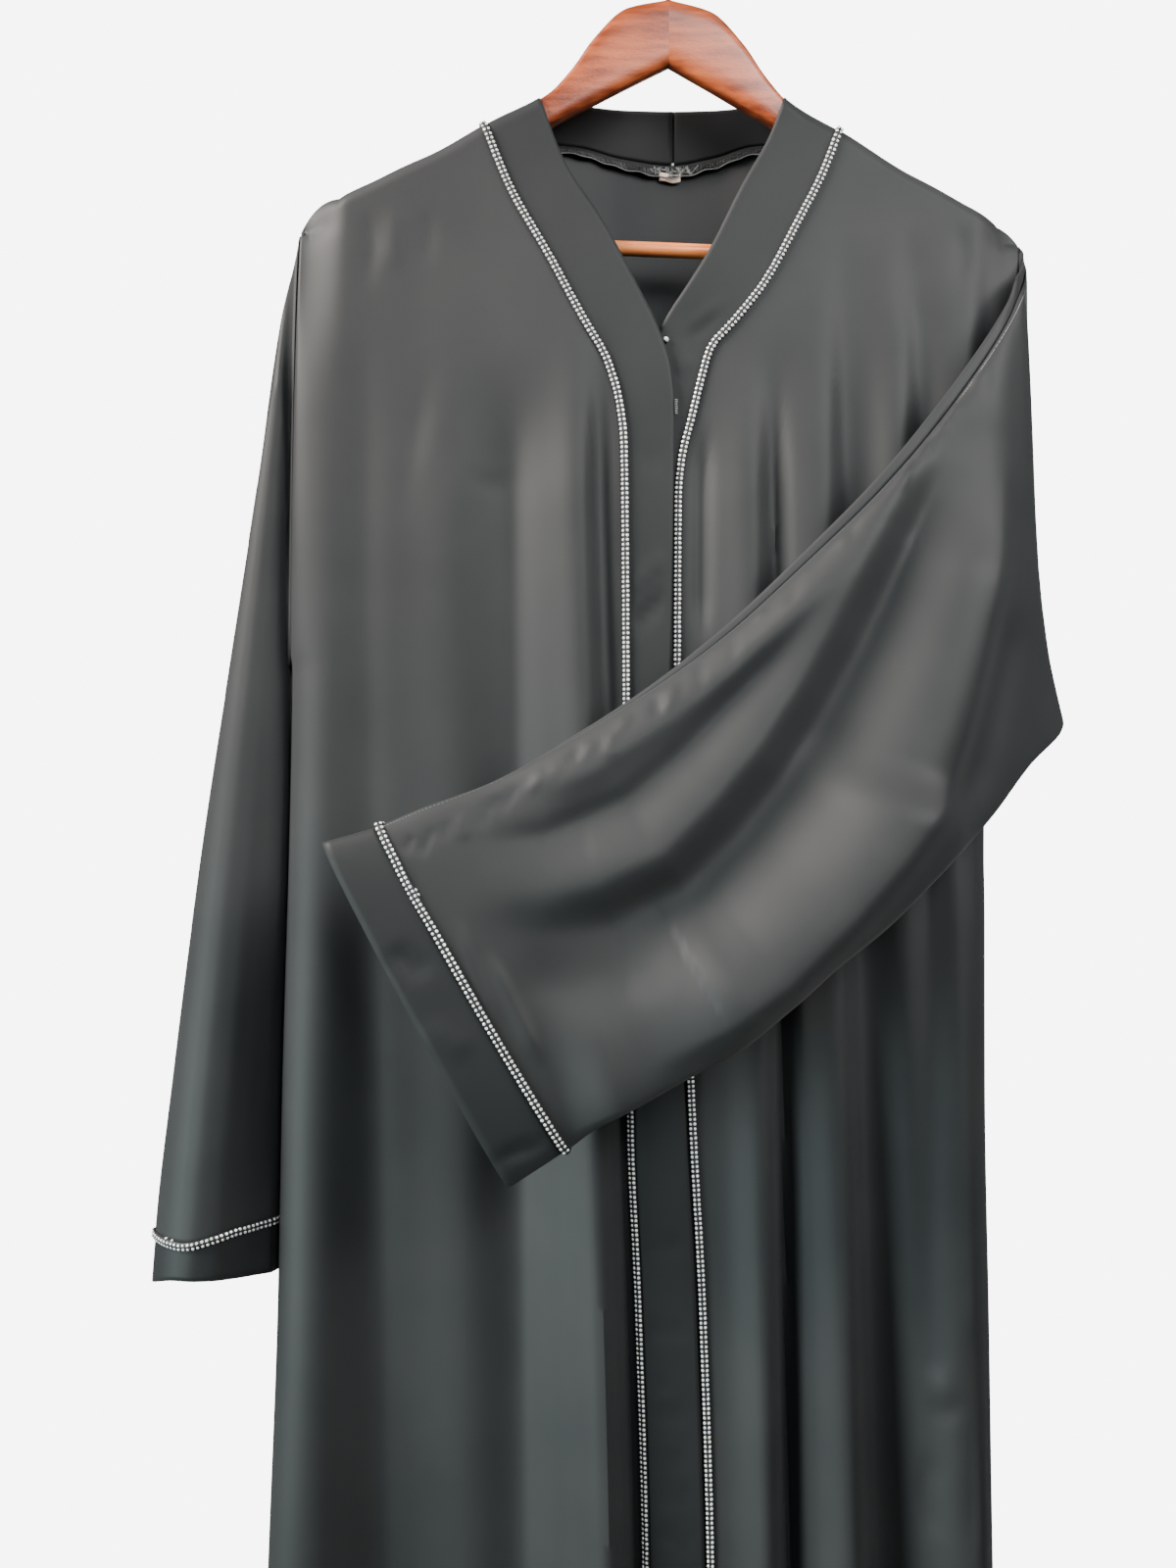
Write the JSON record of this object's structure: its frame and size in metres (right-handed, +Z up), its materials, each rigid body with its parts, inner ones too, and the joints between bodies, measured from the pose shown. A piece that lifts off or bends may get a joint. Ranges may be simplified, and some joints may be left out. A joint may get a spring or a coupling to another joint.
{
  "type": "abaya on wooden hanger",
  "caption": "Open-fronted black crepe abaya with stone-set tape along its front bands and cuffs, on a wooden hanger, its left sleeve drawn across the front.",
  "frame": {"origin": "inside top of the hanger's hook, where the rail that carries it bears", "axes": "+X to the wearer's left, +Y to the wearer's back, +Z up"},
  "size_m": [0.5759, 0.2378, 1.5533],
  "materials": {
    "black_crepe": "matt crepe with a soft sheen",
    "band_crepe": "matt crepe, two layers pressed flat",
    "stone_tape": "two rows of small clear stones in white metal cups",
    "overlock_thread": "overlocked thread",
    "label_satin": "plain satin ribbon",
    "pearl_snap": "pearl",
    "hanger_wood": "varnished, reddish brown",
    "bar_wood": "varnished, orange brown",
    "hook_wire": "plated wire"
  },
  "bodies": {
    "root": {"back": "black_crepe", "front_right": "black_crepe", "front_left": "black_crepe", "band_right": "band_crepe", "band_left": "band_crepe", "sleeve_right_front": "black_crepe", "sleeve_right_back": "black_crepe", "sleeve_left_front": "black_crepe", "sleeve_left_back": "black_crepe", "cuff_right_front": "band_crepe", "cuff_right_back": "band_crepe", "cuff_left_front": "band_crepe", "cuff_left_back": "band_crepe", "trim_front_right": "stone_tape", "trim_front_left": "stone_tape", "trim_cuff_right_front": "stone_tape", "trim_cuff_right_back": "stone_tape", "trim_cuff_left_front": "stone_tape", "trim_cuff_left_back": "stone_tape", "neck_seam_edge": "overlock_thread", "neck_label": "label_satin", "neck_snap": "pearl_snap", "hanger_arm_right": "hanger_wood", "hanger_arm_left": "hanger_wood", "trouser_bar": "bar_wood", "hanger_hook": "hook_wire"}
  },
  "joints": []
}
